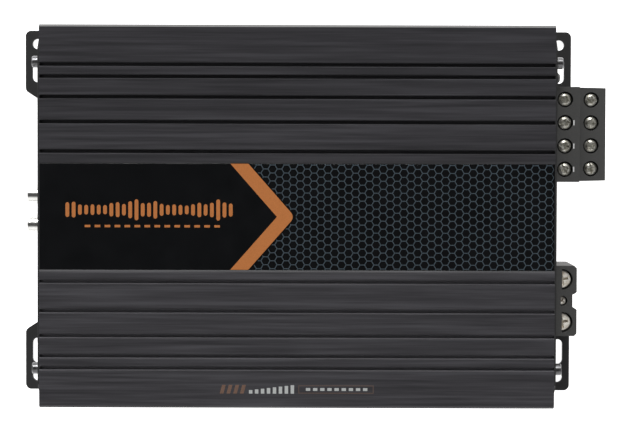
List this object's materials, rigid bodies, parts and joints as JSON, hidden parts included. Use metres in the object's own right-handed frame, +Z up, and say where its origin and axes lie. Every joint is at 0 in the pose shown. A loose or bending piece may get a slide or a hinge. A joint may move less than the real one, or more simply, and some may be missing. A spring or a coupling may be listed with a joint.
{
  "type": "car audio amplifier",
  "caption": "Flat multi-channel car amplifier: finned black extruded case with an inlay panel, end plates, mounting ears, input jacks, knobs, fuses and screw terminals.",
  "frame": {"origin": "middle of the mounting-hole pattern, on the plane the amplifier rests on", "axes": "+X towards the loudspeaker and power terminals, +Y to the side that the loudspeaker terminals are on, +Z up out of the finned top"},
  "size_m": [0.282, 0.177, 0.051],
  "materials": {
    "black_anodised_extrusion": "brushed black anodised",
    "black_painted_steel": "fine powder coat",
    "gloss_black_panel": "gloss",
    "orange_print": "satin print",
    "white_print": "satin print",
    "zinc_steel": "zinc plated",
    "black_oxide_steel": "black oxide",
    "nickel_plate": "bright nickel",
    "black_plastic": "fine moulded",
    "white_plastic": "moulded",
    "red_plastic": "moulded",
    "brass": "turned",
    "blue_led": "clear tinted",
    "red_led": "clear tinted",
    "amber_fuse": "translucent",
    "tinned_metal": "tinned",
    "green_board": "solder mask",
    "moulded_epoxy": "moulded",
    "grey_pad": "matt",
    "ferrite": "matt",
    "copper_wire": "enamelled wire",
    "capacitor_sleeve": "shrink sleeve"
  },
  "bodies": {
    "root": {"heatsink_case": "black_anodised_extrusion", "bottom_cover": "black_painted_steel", "input_end_plate": "black_painted_steel", "output_end_plate": "black_painted_steel", "top_inlay_panel": "gloss_black_panel", "end_plate_screws": "zinc_steel", "bottom_cover_screws": "zinc_steel", "rca_block_screw": "zinc_steel", "pcb_screws": "zinc_steel", "clamp_bar_screws": "zinc_steel", "clamp_bars": "zinc_steel", "terminal_block_screws": "black_oxide_steel", "speaker_terminal_sleeves": "black_oxide_steel", "power_terminal_sleeves": "black_oxide_steel", "rca_shells": "nickel_plate", "rca_housing": "black_plastic", "potentiometer_bodies": "black_plastic", "slide_switch_bodies": "black_plastic", "speaker_terminal_housing": "black_plastic", "power_terminal_housing": "black_plastic", "fuse_holder": "black_plastic", "rca_insulators_white": "white_plastic", "rca_insulators_red": "red_plastic", "rca_center_contacts": "brass", "power_led": "blue_led", "protect_led": "red_led", "transistor_tabs": "tinned_metal", "transistor_leads": "tinned_metal", "main_pcb": "green_board", "transistor_packages": "moulded_epoxy", "control_ics": "moulded_epoxy", "thermal_pads": "grey_pad", "transformer_core": "ferrite", "input_choke_core": "ferrite", "transformer_windings": "copper_wire", "input_choke_windings": "copper_wire", "supply_capacitors": "capacitor_sleeve", "coupling_capacitors": "capacitor_sleeve"},
    "front_level_knob": {"front_level_knob": "black_plastic"},
    "highpass_knob": {"highpass_knob": "black_plastic"},
    "lowpass_knob": {"lowpass_knob": "black_plastic"},
    "bass_boost_knob": {"bass_boost_knob": "black_plastic"},
    "rear_level_knob": {"rear_level_knob": "black_plastic"},
    "front_filter_slider": {"front_filter_slider": "black_plastic"},
    "rear_filter_slider": {"rear_filter_slider": "black_plastic"},
    "speaker_screw_1": {"speaker_screw_1": "zinc_steel"},
    "speaker_screw_2": {"speaker_screw_2": "zinc_steel"},
    "speaker_screw_3": {"speaker_screw_3": "zinc_steel"},
    "speaker_screw_4": {"speaker_screw_4": "zinc_steel"},
    "speaker_screw_5": {"speaker_screw_5": "zinc_steel"},
    "speaker_screw_6": {"speaker_screw_6": "zinc_steel"},
    "speaker_screw_7": {"speaker_screw_7": "zinc_steel"},
    "speaker_screw_8": {"speaker_screw_8": "zinc_steel"},
    "battery_screw": {"battery_screw": "zinc_steel"},
    "remote_screw": {"remote_screw": "zinc_steel"},
    "ground_screw": {"ground_screw": "zinc_steel"},
    "fuse_1": {"fuse_1": "amber_fuse", "fuse_1_blades": "tinned_metal"},
    "fuse_2": {"fuse_2": "amber_fuse", "fuse_2_blades": "tinned_metal"}
  },
  "joints": [
    {"name": "front_level_knob_turn", "type": "hinge", "parent": "root", "child": "front_level_knob", "pos_m": [-0.122, 0.066, 0.018], "axis": [-1, 0, 0], "range_deg": [-150, 150]},
    {"name": "highpass_knob_turn", "type": "hinge", "parent": "root", "child": "highpass_knob", "pos_m": [-0.122, 0.048, 0.018], "axis": [-1, 0, 0], "range_deg": [-150, 150]},
    {"name": "lowpass_knob_turn", "type": "hinge", "parent": "root", "child": "lowpass_knob", "pos_m": [-0.122, -0.044, 0.018], "axis": [-1, 0, 0], "range_deg": [-150, 150]},
    {"name": "bass_boost_knob_turn", "type": "hinge", "parent": "root", "child": "bass_boost_knob", "pos_m": [-0.122, -0.057, 0.018], "axis": [-1, 0, 0], "range_deg": [-150, 150]},
    {"name": "rear_level_knob_turn", "type": "hinge", "parent": "root", "child": "rear_level_knob", "pos_m": [-0.122, -0.07, 0.018], "axis": [-1, 0, 0], "range_deg": [-150, 150]},
    {"name": "front_filter_slider_slide", "type": "slide", "parent": "root", "child": "front_filter_slider", "axis": [0, 1, 0], "range_m": [-0.002, 0.002]},
    {"name": "rear_filter_slider_slide", "type": "slide", "parent": "root", "child": "rear_filter_slider", "axis": [0, 1, 0], "range_m": [-0.002, 0.002]},
    {"name": "speaker_screw_1_turn", "type": "hinge", "parent": "root", "child": "speaker_screw_1", "pos_m": [0.1264, 0.02185, 0.0311], "axis": [0, 0, 1], "range_deg": [-1260, 0]},
    {"name": "speaker_screw_2_turn", "type": "hinge", "parent": "root", "child": "speaker_screw_2", "pos_m": [0.1264, 0.03285, 0.0311], "axis": [0, 0, 1], "range_deg": [-1260, 0]},
    {"name": "speaker_screw_3_turn", "type": "hinge", "parent": "root", "child": "speaker_screw_3", "pos_m": [0.1264, 0.04385, 0.0311], "axis": [0, 0, 1], "range_deg": [-1260, 0]},
    {"name": "speaker_screw_4_turn", "type": "hinge", "parent": "root", "child": "speaker_screw_4", "pos_m": [0.1264, 0.05485, 0.0311], "axis": [0, 0, 1], "range_deg": [-1260, 0]},
    {"name": "speaker_screw_5_turn", "type": "hinge", "parent": "root", "child": "speaker_screw_5", "pos_m": [0.1407, 0.02185, 0.0201], "axis": [0, 0, 1], "range_deg": [-1260, 0]},
    {"name": "speaker_screw_6_turn", "type": "hinge", "parent": "root", "child": "speaker_screw_6", "pos_m": [0.1407, 0.03285, 0.0201], "axis": [0, 0, 1], "range_deg": [-1260, 0]},
    {"name": "speaker_screw_7_turn", "type": "hinge", "parent": "root", "child": "speaker_screw_7", "pos_m": [0.1407, 0.04385, 0.0201], "axis": [0, 0, 1], "range_deg": [-1260, 0]},
    {"name": "speaker_screw_8_turn", "type": "hinge", "parent": "root", "child": "speaker_screw_8", "pos_m": [0.1407, 0.05485, 0.0201], "axis": [0, 0, 1], "range_deg": [-1260, 0]},
    {"name": "battery_screw_turn", "type": "hinge", "parent": "root", "child": "battery_screw", "pos_m": [0.1256, -0.03035, 0.028], "axis": [0, 0, 1], "range_deg": [-2700, 0]},
    {"name": "remote_screw_turn", "type": "hinge", "parent": "root", "child": "remote_screw", "pos_m": [0.1256, -0.0405, 0.028], "axis": [0, 0, 1], "range_deg": [-2520, 0]},
    {"name": "ground_screw_turn", "type": "hinge", "parent": "root", "child": "ground_screw", "pos_m": [0.1256, -0.05065, 0.028], "axis": [0, 0, 1], "range_deg": [-2700, 0]},
    {"name": "fuse_1_pull", "type": "slide", "parent": "root", "child": "fuse_1", "axis": [1, 0, 0], "range_m": [0, 0.018]},
    {"name": "fuse_2_pull", "type": "slide", "parent": "root", "child": "fuse_2", "axis": [1, 0, 0], "range_m": [0, 0.018]}
  ]
}
